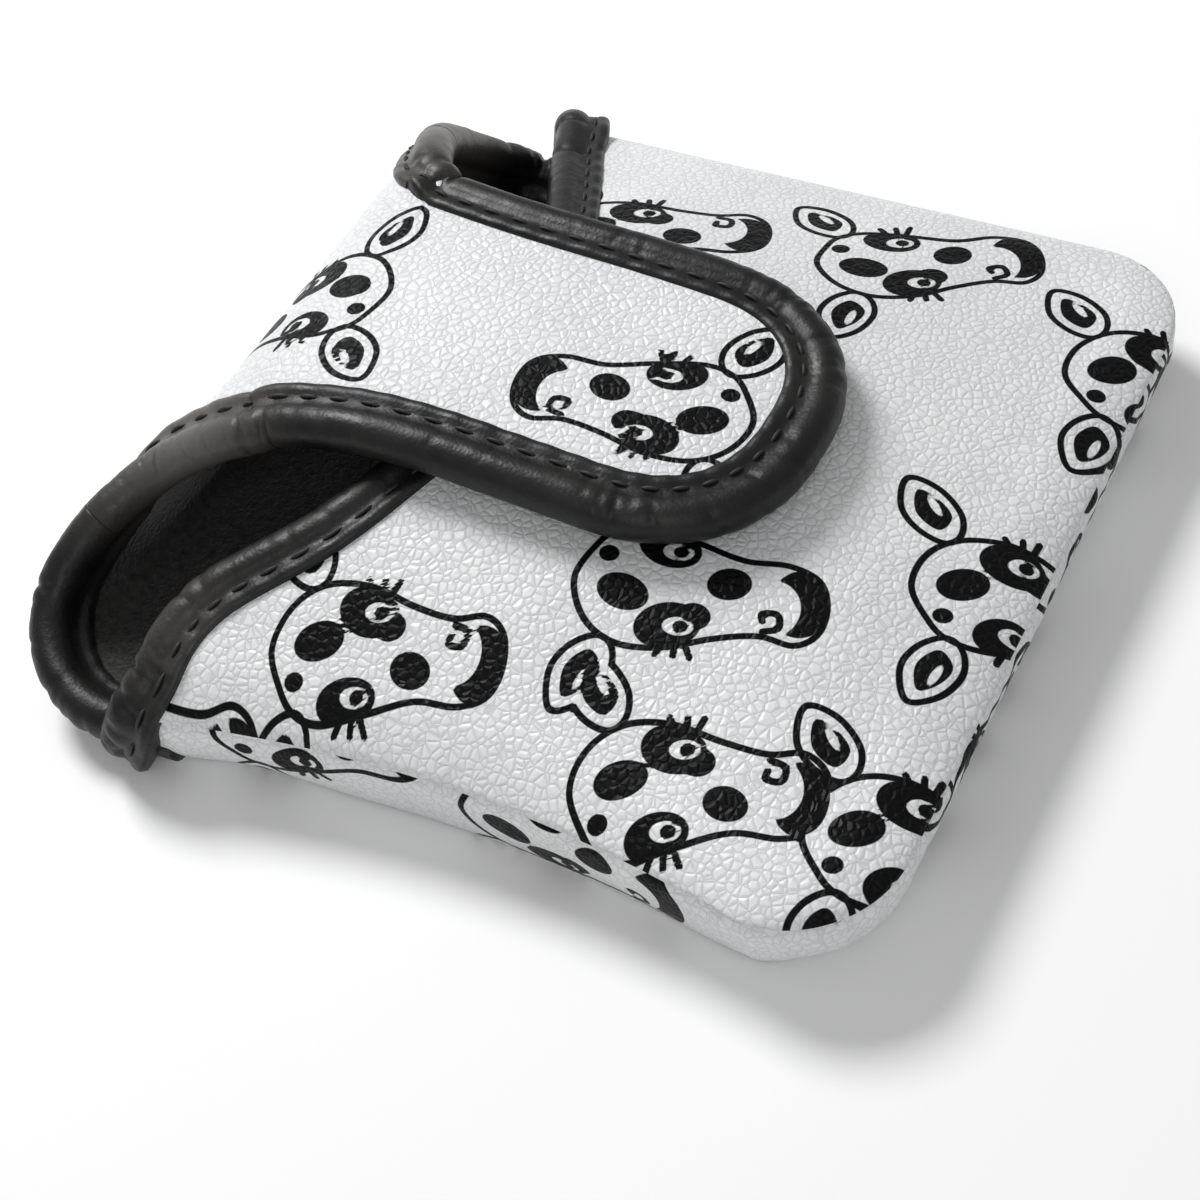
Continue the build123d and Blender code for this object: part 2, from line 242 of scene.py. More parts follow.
# %% Pen strokes and filled shapes
def smooth_curve(points, closed=False, steps=6):
    """A Catmull-Rom curve through given points."""
    p = np.array(points, float)
    p = np.vstack([p[-1:], p, p[:2]]) if closed else np.vstack([2 * p[0] - p[1], p, 2 * p[-1] - p[-2]])
    t = np.linspace(0, 1, steps, endpoint=False)[:, None]
    curve = []
    for a, b, c, d in zip(p, p[1:], p[2:], p[3:]):
        curve.append(0.5 * (2 * b + (c - a) * t + (2 * a - 5 * b + 4 * c - d) * t**2
                            + (3 * b - a - 3 * c + d) * t**3))
    curve = np.vstack(curve)
    return np.vstack([curve, curve[:1]]) if closed else np.vstack([curve, p[-2:-1]])


def to_line(q, line):
    """Distance of points q to a run of short segments."""
    best = np.full(len(q), 1e9)
    for a, b in zip(line, line[1:]):
        run = b - a
        t = np.clip(((q - a) @ run) / max(run @ run, 1e-9), 0, 1)
        best = np.minimum(best, np.hypot(*(q - a - t[:, None] * run).T))
    return best


def inside(q, line):
    """Which points lie within a closed run of segments."""
    hit = np.zeros(len(q), bool)
    for (ax, ay), (bx, by) in zip(line, line[1:]):
        if ay != by:
            crosses = (ay > q[:, 1]) != (by > q[:, 1])
            hit ^= crosses & (q[:, 0] < (bx - ax) * (q[:, 1] - ay) / (by - ay) + ax)
    return hit


def filled(q, line):
    """Distance to a closed outline, below zero inside it."""
    d = to_line(q, line)
    return np.where(inside(q, line), -d, d)


def blob(q, x, y, rx, ry, turn=0.0):
    """A filled oval."""
    c, s = np.cos(turn), np.sin(turn)
    u = ((q[:, 0] - x) * c + (q[:, 1] - y) * s) / rx
    v = ((q[:, 1] - y) * c - (q[:, 0] - x) * s) / ry
    return (np.hypot(u, v) - 1) * min(rx, ry)


# %% One cow head, facing +X
FACE = smooth_curve([(-15, -6), (-17.5, 0), (-15, 6.5), (-9.5, 10.2), (-2, 10.4), (6, 7.8), (13, 6.3),
                     (18.5, 7.0), (22, 4.2), (22.8, -1), (21, -5.6), (16, -7.4), (9, -6.9), (1, -9.0),
                     (-7, -10.6), (-12, -9.4)], closed=True)
EAR = smooth_curve([(-12.2, 9.2), (-16.5, 11.2), (-19.2, 15.5), (-18.2, 21.5), (-13.2, 20.2),
                    (-9.6, 15.6), (-9.6, 11.2)], closed=True)
EAR_HOLLOW = smooth_curve([(-13.2, 11.6), (-16.8, 14.6), (-16.6, 19.4), (-13.2, 18.0), (-11.0, 14.6)],
                          closed=True)
SPOTS = [(-9.4, 1.4, 4.4, 3.1, 0.3), (7.2, -2.2, 3.6, 2.9, -0.3), (-12.6, -5.0, 1.7, 1.5, 0)]
HEAD_SIZE = 0.82


def cow_head(q):
    """Distances of one head: to its filled shapes, its face outline and its ear outlines."""
    face, fill, ears = filled(q, FACE), np.full(len(q), 9.0), np.full(len(q), 9.0)
    for side in (1, -1):
        mirror = np.array([1, side])
        light = blob(q, -13.8, 16.4 * side, 0.7, 2.2, 0.5 * side)
        fill = np.minimum(fill, np.maximum(filled(q, EAR_HOLLOW * mirror), -light))
        ears = np.minimum(ears, filled(q, EAR * mirror))
    ears = np.maximum(ears, -face - 0.6)
    patch = np.minimum(blob(q, -1.5, 6.4, 5.4, 4.0, -0.25), blob(q, 2.4, 4.4, 2.8, 2.4))
    for shape, ex, ey, side in ((patch, 0.2, 6.4, 1), (blob(q, -3.0, -7.4, 5.2, 3.6, 0.2), -1.6, -6.8, -1)):
        pupil = blob(q, ex + 0.4, ey, 1.25, 1.1)
        shape = np.maximum(np.maximum(shape, face), -blob(q, ex, ey, 2.5, 1.6))
        fill = np.minimum(fill, np.minimum(shape, pupil))
        for tip in (-2.4, 0.0, 2.2):
            lash = np.array([(ex + tip * 0.6, ey + 2.4 * side), (ex + tip * 1.2, ey + 5.2 * side)])
            fill = np.minimum(fill, to_line(q, lash) - 0.58)
    for x, y, rx, ry, turn in SPOTS:
        fill = np.minimum(fill, blob(q, x, y, rx, ry, turn))
    nose = np.maximum(blob(q, 18.8, -0.8, 5.0, 6.4, 0.15), -blob(q, 14.4, 1.0, 4.4, 5.2, 0.15))
    fill = np.minimum(fill, np.maximum(nose, face))
    curl = smooth_curve([(13.4, 5.4), (15.8, 4.4), (15.4, 2.0), (13.0, 2.2), (13.2, 3.6)])
    return np.minimum(fill, to_line(q, curl) - 0.6), face, ears


def print_heads(a, b, places):
    """The print over a sheet whose own flat coordinates are a and b, in millimetres."""
    flat = np.stack([a.ravel(), b.ravel()], 1)
    ink = np.full((3, len(flat)), 9.0)
    for x, y, turn, flip in places:
        near = np.hypot(flat[:, 0] - x, flat[:, 1] - y) < 26
        if near.any():
            angle = np.radians(turn)
            local = (flat[near] - (x, y)) @ np.array([[np.cos(angle), -np.sin(angle)],
                                                     [np.sin(angle), np.cos(angle)]])
            head = np.array(cow_head(local * (1, flip) / HEAD_SIZE)) * HEAD_SIZE
            ink[:, near] = np.minimum(ink[:, near], head)
    return ink.reshape(3, *a.shape)


print("head drawn from", len(FACE) + len(EAR) + len(EAR_HOLLOW), "curve points")

# %% [markdown]
# ## Top panel
#
# The top is one curved patch between four edges: the scooped mouth, two side seams and the
# end seam. A Coons patch fills the plan evenly between them, and the crown formula lifts it.
# The leather rolls down sharply at the seam, where the foam under it stops.

# %% Plan of the top panel
def seam_side(side, count):
    """Plan points of one side seam, from the mouth to the middle of its end corner."""
    edge = near_edge if side < 0 else far_edge
    start_x = mouth_line(64.0) - HEM - 1.0
    cx = LENGTH - CORNER
    cy = edge(cx) - side * CORNER
    straight = int(count * 0.87)
    x = np.linspace(start_x, cx, straight, endpoint=False)
    angle = np.linspace(np.pi / 2, np.pi / 4, count - straight)
    arc = np.stack([cx + CORNER * np.cos(angle), cy + side * CORNER * np.sin(angle)], 1)
    return np.vstack([np.stack([x, edge(x)], 1), arc])


def seam_end(count):
    """Plan points of the end seam, from one corner's middle to the other's."""
    cx = LENGTH - CORNER
    points = []
    turn = np.linspace(0, np.pi / 4, count // 9)
    for side, angles in ((-1, turn - np.pi / 4), (1, turn)):
        cy = (near_edge(cx) + CORNER) if side < 0 else (far_edge(cx) - CORNER)
        points.append(np.stack([cx + CORNER * np.cos(angles), cy + CORNER * np.sin(angles)], 1))
    gap = count - 2 * (count // 9)
    between = np.linspace(points[0][-1], points[1][0], gap + 2)[1:-1]
    return np.vstack([points[0], between, points[1]])


def mouth_edge(outset, y):
    """Plan points along the scooped edge, moved towards the mouth."""
    slope = (mouth_line(y + 0.5) - mouth_line(y - 0.5))
    stretch = np.hypot(1, slope)
    return np.stack([mouth_line(y) - outset / stretch, y + outset * slope / stretch], 1)


def coons(front, end, near, far):
    """A plan grid between four edges: rows run from front to end, columns from near to far."""
    v = np.linspace(0, 1, len(near))[:, None, None]
    u = np.linspace(0, 1, len(front))[None, :, None]
    ruled = (1 - v) * front[None] + v * end[None] + (1 - u) * near[:, None] + u * far[:, None]
    corners = ((1 - v) * (1 - u) * front[0] + (1 - v) * u * front[-1]
               + v * (1 - u) * end[0] + v * u * end[-1])
    return ruled - corners


def top_grid(rows, cols, lower=0.0):
    """Grid over the crowned top panel, rounded down to its seams."""
    near, far = seam_side(-1, rows), seam_side(1, rows)
    y = np.linspace(near[0, 1], far[0, 1], cols)
    front = mouth_edge(HEM + 1.0, y)
    front[0], front[-1] = near[0], far[0]
    plan = coons(front, seam_end(cols), near, far)
    x, y = plan[..., 0], plan[..., 1]
    gap = np.maximum(seam_gap(x, y), 0)
    z = SEAM - 0.1 + (top_height(x, y) - SEAM + 0.1) * (1 - np.exp(-gap / 0.8))
    return np.stack([x, y, z - lower], -1)


# %% Top leather and its fleece
TOP_HEADS = [(35, -48, 14, 1), (82, -51, 19, 1), (71, -26, 16, -1), (110, -6, 22, 1), (114, 40, 24, 1),
             (73, 47, 32, -1), (34, 36, 24, 1), (112, -46, 20, 1), (6, -70, 20, 1), (110, 84, 24, 1)]
top_points = top_grid(208, 224)
top_ink = print_heads(top_points[..., 0], top_points[..., 1], TOP_HEADS)
top_leather = sheet("top_leather", top_points, LEATHER, ink=top_ink)
fleece_points = top_grid(70, 90, lower=LEATHER + FOAM + 0.1)
fleece_middle, fleece_share = np.array([60.0, 1.0]), 1 - 0.058
fleece_points[..., :2] = fleece_middle + (fleece_points[..., :2] - fleece_middle) * fleece_share
top_fleece = sheet("top_fleece", fleece_points, 0.9)
print("top leather points:", len(top_leather.data.vertices))

# %% [markdown]
# ## Gusset
#
# A narrow strip joins top and bottom on the two sides and round the closed end. Its section
# swells a little between its two seams, turns under towards the floor, and puckers where it
# is eased round the corners, so it is swept along the seam as a grid of sections.

# %% Gusset
def gusset_path():
    """Plan points of the seam from the near mouth corner round the end, with outward directions."""
    near = seam_side(-1, 240)
    near = near[near[:, 0] > 7.0]
    lead = np.stack([np.linspace(3.5, near[0, 0] - 0.5, 8), np.full(8, near[0, 1])], 1)
    path = np.vstack([lead, near, seam_end(260)[1:-1]])
    far = seam_side(1, 240)[::-1]
    tail = np.stack([np.linspace(far[-1, 0] - 0.5, 3.5, 8), np.full(8, far[-1, 1])], 1)
    path = np.vstack([path, far, tail])
    length = np.concatenate([[0], np.cumsum(np.linalg.norm(np.diff(path, axis=0), axis=1))])
    even = np.linspace(0, length[-1], 740)
    path = np.stack([np.interp(even, length, path[:, k]) for k in (0, 1)], 1)
    run = np.gradient(path, axis=0)
    run = np.stack([np.convolve(np.pad(run[:, k], 6, "edge"), np.ones(13) / 13, "valid") for k in (0, 1)], 1)
    run /= np.linalg.norm(run, axis=1, keepdims=True)
    return path, np.stack([run[:, 1], -run[:, 0]], 1)


def gusset_grid(rows, inner=0.0):
    """Grid round the gusset: rows go along the seam, columns from the bottom edge up."""
    path, out = gusset_path()
    length = np.concatenate([[0], np.cumsum(np.linalg.norm(np.diff(path, axis=0), axis=1))])
    drop = np.linspace(1, 0, rows)[None, :]
    s = length[:, None]
    swell = 0.9 * np.sin(np.pi * drop) ** 0.8 - 1.2 * np.exp(-((drop / 0.09) ** 2))
    corner = np.exp(-(((path[:, 0] - 99.0) / 14.0) ** 2))[:, None]
    pucker = 0.42 * corner * np.sin(s * 1.55 + 2.0 * drop) * np.exp(-drop * 3.0)
    ripple = 0.15 * noise(s + 0 * drop, 30 * drop + 0 * s, 22.0, 8)
    reach = swell - wall_inset(path[:, :1], drop) + (pucker + ripple) * np.sin(np.pi * drop) ** 0.5 - inner
    x = path[:, :1] + out[:, :1] * reach
    y = path[:, 1:] + out[:, 1:] * reach
    z = (SEAM - 0.1) * (1 - drop) + 0.02 + 0 * s
    return np.stack([x, y, z], -1), s + 0 * drop, z


gusset_points, gusset_run, gusset_rise = gusset_grid(20)
GUSSET_HEADS = [(26, 16, 8, 1), (64, 9, -6, -1), (140, 4, 8, 1), (176, 15, 5, 1), (214, 3, 4, -1),
                (258, 14, 8, 1), (300, 2, 12, 1), (334, 15, 6, -1)]
gusset_ink = print_heads(gusset_run, gusset_rise, GUSSET_HEADS)
gusset_leather = sheet("gusset_leather", gusset_points, LEATHER, ink=gusset_ink)
gusset_padding = sheet("gusset_padding", gusset_grid(12, LEATHER + 0.05)[0], FOAM - 0.1)
gusset_fleece = sheet("gusset_fleece", gusset_grid(10, LEATHER + FOAM + 0.3)[0], 0.9)
print("gusset length, mm:", round(float(gusset_run.max())))

# %% [markdown]
# ## Bottom panel, strap and flap
#
# The bottom panel, the strap and the flap are one piece of sheet. Laid out in rows from the
# closed end forward, each row knows three places: its middle, and where its two edges end.
# The rows first lie flat, then turn up at the front into a lip, narrow into the strap, fold
# over the mouth and run back along the top to a round tip.

# %% Rows of the long panel
# Middle (x, z), near edge (x, y, z), far edge (x, y, z) and how late the row turns up.
TURN_UP = [
    (10.0, 0.0, 10.0, -61.3, 3.0, 10.0, 63.9, 3.0, 12.0),
    (0.0, 0.0, 0.0, -62.2, 3.4, 2.0, 64.2, 4.2, 12.0),
    (-8.0, 0.2, -8.0, -62.8, 4.2, -3.5, 63.6, 6.4, 10.0),
    (-14.0, 0.9, -14.2, -60.9, 5.4, -6.8, 61.4, 9.6, 8.0),
    (-18.6, 2.8, -19.2, -57.2, 7.0, -8.6, 57.8, 13.6, 6.0),
    (-20.8, 6.6, -22.6, -52.3, 9.4, -9.6, 53.4, 18.6, 4.0),
    (-19.6, 11.6, -23.6, -47.2, 13.2, -9.2, 48.6, 23.8, 3.0),
    (-16.4, 17.2, -21.8, -41.6, 17.4, -7.4, 43.6, 28.6, 2.2),
    (-12.6, 22.4, -18.6, -36.2, 21.2, -4.6, 38.4, 32.4, 2.0),
    (-8.6, 27.6, -14.2, -31.2, 24.6, -1.4, 33.6, 35.4, 2.0),
    (-4.2, 32.4, -8.6, -28.2, 27.9, 1.2, 29.8, 37.4, 2.0),
    (1.6, 36.0, -2.2, -26.9, 31.4, 4.0, 27.0, 38.5, 2.0),
    (8.0, 37.8, 4.8, -25.7, 34.2, 8.2, 25.4, 38.2, 2.0),
]
STRAP_MIDDLE = 20.0
TIP_X, TIP_HALF, TIP_RUN, TIP_POWER = 80.8, 25.7, 25.8, 2.3


def floor_rows(step):
    """Flat rows under the pocket, the first ones shortened by the round end corners."""
    angle = np.linspace(0.12, np.pi / 2, 12)
    end, corner = LENGTH - wall_inset(LENGTH, 1.0), 13.0
    x = np.concatenate([end - corner * (1 - np.cos(angle)), np.arange(end - corner - step, 10.0, -step)])
    cut = np.where(x > end - corner, corner - np.sqrt(np.maximum(corner**2 - (x - end + corner) ** 2, 0)), 0)
    lift = 3.0 * np.clip((28.0 - x) / 18.0, 0, 1) ** 2
    inset = wall_inset(x, 1 - lift / SEAM) + cut + 0.2
    near, far = near_edge(x) + inset - lift / 3.0, far_edge(x) - inset
    return np.stack([x, 0 * x, x, near, lift, x, far, lift, 0 * x + 12.0], 1)


def turn_rows(step):
    """Rows from the front of the floor, up the strap, to the fold over the mouth."""
    stations = np.array(TURN_UP)
    dense = smooth_curve(stations, steps=12)
    run = np.concatenate([[0], np.cumsum(np.hypot(*np.diff(dense[:, :2], axis=0).T))])
    even = np.linspace(0, run[-1], int(run[-1] / step))
    return np.stack([np.interp(even, run, dense[:, k]) for k in range(9)], 1)


def tip_rows(step):
    """Rows of the flap, closing to nothing at the tip, with their edge under the middle of the bead."""
    start = TIP_X - TIP_RUN
    straight = np.arange(8.0 + step, start, step)
    angle = np.linspace(0, np.pi / 2, 46)
    bend = start + (TIP_RUN - BEAD_RADIUS) * np.sin(angle) ** (2 / TIP_POWER)
    half = (TIP_HALF - BEAD_RADIUS) * np.cos(angle) ** (2 / TIP_POWER)
    x = np.concatenate([straight, bend])
    flare = 3.8 * np.maximum(1 - straight / 35.0, 0) ** 2
    y = np.concatenate([TIP_HALF - BEAD_RADIUS + flare, np.maximum(half, 0.02)])
    z = flap_height(x)
    fall = np.clip((23.0 - x) / 15.0, 0, 1) ** 1.5
    droop = 0.5 * np.clip(y / 20.0, 0, 1)
    return np.stack([x, z, x - 3.0 * fall, -y, z - droop - 2.9 * fall, x, y, z - droop, 0 * x + 2.0], 1)


def long_panel(step, cols):
    """Grid over the whole panel; rows run from the closed end to the tip."""
    flat, turn, tip = floor_rows(step), turn_rows(step), tip_rows(step)
    rows = np.vstack([flat, turn, tip])
    s = np.sin(np.linspace(-1, 1, cols) * np.pi / 2 * 0.93) / np.sin(np.pi / 2 * 0.93)
    w = np.abs(s)[None, :]
    near = (s < 0)[None, :]
    ex, ey, ez = (np.where(near, rows[:, k:k + 1], rows[:, k + 3:k + 4]) for k in (2, 3, 4))
    x = rows[:, 0:1] + (ex - rows[:, 0:1]) * w ** 2.5
    z = rows[:, 1:2] + (ez - rows[:, 1:2]) * w ** rows[:, 8:9]
    run = np.concatenate([[0], np.cumsum(np.hypot(*np.diff(rows[:, :2], axis=0).T))])
    points = np.stack([x, ey * w, z], -1)
    return points, rows, run, len(flat)


panel_points, panel_rows, panel_run, panel_floor = long_panel(0.75, 96)
panel_normals = grid_normals(panel_points)
forward, rise = np.gradient(panel_rows[:, 0]), np.gradient(panel_rows[:, 1])
stride = np.maximum(np.hypot(forward, rise), 1e-9)
slope, level = rise / stride, forward / stride
row_normals = np.stack([-slope, 0 * slope, level], 1)
on_flap = panel_rows[:, 0] * (np.arange(len(panel_rows)) > panel_floor + 20) > 40.0
panel_normals[on_flap] = row_normals[on_flap][:, None]
panel_normals[:4] = (0, 0, -1)
split = int(np.argmax((panel_rows[:, 1] > STRAP_MIDDLE)))
fold = int(np.argmax((panel_rows[:, 1] > 37.5)))
print("long panel rows:", len(panel_rows), "split at", split, "length, mm:", round(float(panel_run[-1])))


# %% Leather, foam and fleece of the long panel, in two halves that meet in the strap
def panel_layers(first, last, names, heads):
    """Three closed sheets over one stretch of the panel."""
    points, normals = panel_points[first:last], panel_normals[first:last]
    along = panel_run[first:last, None] - panel_run[fold] + 0 * points[..., 1]
    ink = print_heads(along, points[..., 1], heads)
    leather = sheet(names[0], points, LEATHER, normals, ink)
    foam = sheet(names[1], points - normals * (LEATHER + 0.05), FOAM - 0.1, normals)
    pile = points - normals * (LEATHER + FOAM)
    fleece = sheet(names[2], pile, 0.95, normals)
    return leather, foam, fleece


FLAP_HEADS = [(50, -5, 192, 1), (-8, -3, 196, -1), (84, -26, 190, 1)]
BOTTOM_HEADS = [(-8, -3, 196, -1), (-52, 38, 190, 1), (-50, -34, 196, -1), (-96, 4, 190, 1),
                (-98, 50, 188, -1), (-100, -44, 192, 1), (-142, 30, 190, -1), (-140, -22, 190, 1)]
bottom_leather, bottom_padding, bottom_fleece = panel_layers(
    0, split + 1, ("bottom_leather", "bottom_padding", "bottom_fleece"), BOTTOM_HEADS)
flap_leather, flap_padding, flap_fleece = panel_layers(
    split, len(panel_rows), ("flap_leather", "flap_padding", "flap_fleece"), FLAP_HEADS)

# %% [markdown]
# ## Rolled edges
#
# Each raw edge is bound with a strip of smooth black leather rolled over a foam cord and
# stitched down as a flat hem. A bevelled curve would give a plain tube, so the whole section
# is swept: hem, valley, bead, and the same again underneath. Creases are pressed in
# across the bead, more of them where it turns sharply.

# %% The section and the sweep
def edge_section(count=22):
    """The section, outward and up from the middle of the bead, and where its bead points are."""
    top = WALL / 2
    end = -(BEAD_RADIUS + HEM)
    hem = [(end, top - 0.5), (end + 0.05, top + 0.35), (end + 0.45, top + 0.75), (end + 1.1, top + 0.88),
           (end + 1.75, top + 0.75), (end + 2.2, top + 0.5), (end + 2.6, top + 0.42)]
    angles = np.radians(np.linspace(127, -127, count))
    bead = [(BEAD_RADIUS * np.cos(a), BEAD_RADIUS * np.sin(a)) for a in angles]
    under = [(o, -n) for o, n in reversed(hem)]
    mask = np.concatenate([np.zeros(len(hem)), np.ones(count), np.zeros(len(hem))])
    return np.array(hem + bead + under), mask


def frames(path, normals):
    """Along, outward and up directions at each point of an edge."""
    along = unit(np.gradient(path, axis=0))
    out = unit(np.cross(along, normals))
    return along, out, np.cross(out, along)


def resample(path, normals, step):
    """The path at even steps, with its corners eased."""
    run = np.concatenate([[0], np.cumsum(np.linalg.norm(np.diff(path, axis=0), axis=1))])
    even = np.linspace(0, run[-1], int(run[-1] / step) + 1)
    point = np.stack([np.interp(even, run, path[:, k]) for k in range(3)], 1)
    normal = np.stack([np.interp(even, run, normals[:, k]) for k in range(3)], 1)
    kernel = np.hanning(15)
    kernel /= kernel.sum()
    smooth = []
    for values in (point, normal):
        padded = np.vstack([np.repeat(values[:1], 7, 0), values, np.repeat(values[-1:], 7, 0)])
        smooth.append(np.stack([np.convolve(padded[:, k], kernel, "valid") for k in range(3)], 1))
    return smooth[0], unit(smooth[1]), even


def rolled_edge(name, path, normals, seed):
    """A bound edge swept along a path that runs through the middle of its bead."""
    path, normals, run = resample(path, normals, 0.45)
    along, out, up = frames(path, normals)
    section, bead = edge_section()
    angle = np.arctan2(section[:, 1], section[:, 0])
    bend = np.linalg.norm(np.gradient(along, run, axis=0), axis=1)
    rng = np.random.default_rng(seed)
    push = 0.05 * noise(run[:, None] + 0 * angle, 3 * angle[None] + 0 * run[:, None], 9.0, seed)
    weight = 0.1 + np.clip(bend * 14, 0, 1.6)
    chance = np.cumsum(weight) / weight.sum()
    for _ in range(int(run[-1] * 0.45)):
        at = np.interp(rng.uniform(), chance, run)
        centre = rng.uniform(-0.4, 2.6)
        lean, wide = rng.uniform(-1.1, 1.1), rng.uniform(0.3, 0.75)
        strength = rng.uniform(0.02, 0.1) + 0.3 * min(np.interp(at, run, bend) * 9, 1)
        off = (run[:, None] - at - lean * (angle[None] - centre)) / wide
        across = (angle[None] - centre) / rng.uniform(0.5, 1.2)
        push = push - strength * np.exp(-(off**2)) * np.exp(-(across**2))
    tuck = 0.07 * np.cos(2 * np.pi * run[:, None] / PITCH)
    hem_push = np.where(bead[None] > 0, 0, tuck * (np.abs(section[None, :, 1]) > WALL / 2))
    size = 1 + (push * bead[None]) / BEAD_RADIUS
    o = section[None, :, 0] * size
    n = section[None, :, 1] * size + hem_push * np.sign(section[None, :, 1])
    points = path[:, None] + out[:, None] * o[..., None] + up[:, None] * n[..., None]
    rings, sides = points.shape[:2]
    faces = quads(rings, sides, flip=True, wrap=True)
    verts = points.reshape(-1, 3)
    ends = [list(range(sides))[::-1], list(range((rings - 1) * sides, rings * sides))]
    piece = add_mesh(name, verts, faces + ends)
    # Painted highlight: a weight that is strongest over the fold and grows towards its top, where the key
    # lamp falls.
    fold_highlight = np.exp(-(((path[:, 0] + 6.0) / 13.0) ** 2)) * np.clip((path[:, 2] - 12.0) / 12.0, 0, 1)
    # Crease depth, which the material uses to darken the creases as painted shade.
    point_values(piece, "crease", np.clip(-push, 0, 1))
    point_values(piece, "fold_highlight", np.repeat(fold_highlight, sides))
    return piece, (path, out, up, run)


def filler(name, path, normals):
    """The foam cord inside a rolled edge."""
    path, normals, _ = resample(path, normals, 1.2)
    _, out, up = frames(path, normals)
    sides = 14
    angles = np.linspace(0, 2 * np.pi, sides, endpoint=False)
    ring = out[:, None] * np.cos(angles)[None, :, None] + up[:, None] * np.sin(angles)[None, :, None]
    points = path[:, None] + ring * CORE_RADIUS
    rings = len(path)
    ends = [list(range(sides)), list(range((rings - 1) * sides, rings * sides))[::-1]]
    return add_mesh(name, points.reshape(-1, 3), quads(rings, sides, wrap=True) + ends)


# %% Stitches
def stitches(name, laid, skip=(0.0, 0.0)):
    """Short stitches along the hem of a rolled edge, every one slightly sunk at its ends."""
    path, out, up, run = laid
    centres = np.arange(PITCH * (0.5 + skip[0]), run[-1] - PITCH * skip[1], PITCH)
    verts, faces = [], []
    rings, sides = 7, 6
    angles = np.linspace(0, 2 * np.pi, sides, endpoint=False)
    for centre in centres:
        start = len(verts)
        for k in range(rings):
            f = k / (rings - 1)
            at = centre + (f - 0.5) * STITCH
            p = np.array([np.interp(at, run, path[:, i]) for i in range(3)])
            o = np.array([np.interp(at, run, out[:, i]) for i in range(3)])
            u = np.array([np.interp(at, run, up[:, i]) for i in range(3)])
            arch = np.sin(np.pi * f)
            middle = p - o * (BEAD_RADIUS - 0.25) + u * (WALL / 2 + 0.35 + 0.26 * arch**0.7)
            size = 0.12 + 0.2 * arch**0.5
            verts += [middle + size * (o * np.cos(a) + u * np.sin(a)) for a in angles]
        faces += quads(rings, sides, start, wrap=True)
        last = start + (rings - 1) * sides
        faces += [list(range(start, start + sides)), list(range(last, last + sides))[::-1]]
    return add_mesh(name, verts, faces)


# %% Paths of the rolled edges
near_lip = panel_points[:, 0]
far_lip = panel_points[:, -1]
near_up = unit(panel_normals[:, 1] + panel_normals[:, 0])
far_up = unit(panel_normals[:, -2] + panel_normals[:, -1])
first = int(np.argmax(panel_rows[:, 0] < 7.5))
near_path, far_path = near_lip - near_up * (WALL / 2), far_lip - far_up * (WALL / 2)
edge_pieces = {}
edge_pieces["near_lip"] = (near_path[first:split + 2], near_up[first:split + 2])
edge_pieces["far_lip"] = (far_path[first:split + 2][::-1], far_up[first:split + 2][::-1])
tip = slice(split, None)
edge_pieces["flap"] = (np.vstack([near_path[tip], far_path[tip][::-1][1:]]),
                       np.vstack([near_up[tip], far_up[tip][::-1][1:]]))


def mouth_path():
    """The scooped edge from the far mouth corner to the near one, dropping to the lips at both ends."""
    y = np.linspace(58.0, -60.5, 160)
    plan = mouth_edge(HEM + BEAD_RADIUS, y)
    x, y = plan[:, 0], plan[:, 1]
    d = 0.4
    up = np.stack([-(top_height(x + d, y) - top_height(x - d, y)) / 2 / d,
                   -(top_height(x, y + d) - top_height(x, y - d)) / 2 / d, np.ones_like(x)], 1)
    path, up = np.stack([x, y, top_height(x, y)], 1), unit(up)
    path = path - up * (WALL / 2)
    far_end = [(1.0, 65.0, 4.0), (1.2, 67.0, 6.6), (1.8, 68.0, 9.8), (2.8, 67.6, 13.2),
               (4.4, 65.6, 15.8), (6.8, 62.2, 16.5)]
    near_end = [(2.4, -62.4, 13.6), (1.6, -63.7, 11.4), (0.3, -64.2, 8.8), (-1.1, -63.9, 6.6),
                (-2.2, -62.8, 4.8)]
    far_turn = [(-0.1, 1.0, -0.2), (0.0, 1.0, -0.1), (0.0, 1.0, 0.1), (0.1, 0.9, 0.5),
                (0.1, 0.6, 0.8), (0.1, 0.3, 1.0)]
    near_turn = [(0.1, -0.7, 0.7), (0.1, -1.0, 0.4), (0.0, -1.0, 0.15), (-0.1, -1.0, -0.1),
                 (-0.1, -1.0, -0.3)]
    far_turn, near_turn = unit(np.array(far_turn)), unit(np.array(near_turn))
    return np.vstack([far_end, path, near_end]), np.vstack([far_turn, up, near_turn])


edge_pieces["mouth"] = mouth_path()
edges, fillers, threads = {}, {}, {}
for seed, (key, (path, up)) in enumerate(edge_pieces.items()):
    edges[key], laid = rolled_edge(f"{key}_edge", path, up, 20 + seed)
    fillers[key] = filler(f"{key}_filler", path, up)
    threads[key] = stitches(f"{key}_stitching", laid, (1.0, 1.0) if key == "mouth" else (0.0, 0.0))
    print(key, "edge length, mm:", round(float(laid[3][-1])))

# %% [markdown]
# ## Finishes
#
# The printed sheet is a pebble-grained coating with a soft shine. Its grain is a cell pattern
# in bump, so the print lies over it unbroken, with painted shade darkening its grooves. The black
# edging is smooth leather, with painted shade in its creases and a grey-brown painted highlight
# over the top of the fold; the lining is a dark pile and the thread is twisted.

# %% Node helpers
def new_material(name, roughness, color=(0.5, 0.5, 0.5)):
    material = bpy.data.materials.new(name)
    material.use_nodes = True
    shader = material.node_tree.nodes["Principled BSDF"]
    shader.inputs["Roughness"].default_value = roughness
    shader.inputs["Base Color"].default_value = (*color, 1)
    material.diffuse_color = (*color, 1)
    return material, material.node_tree.nodes, material.node_tree.links, shader


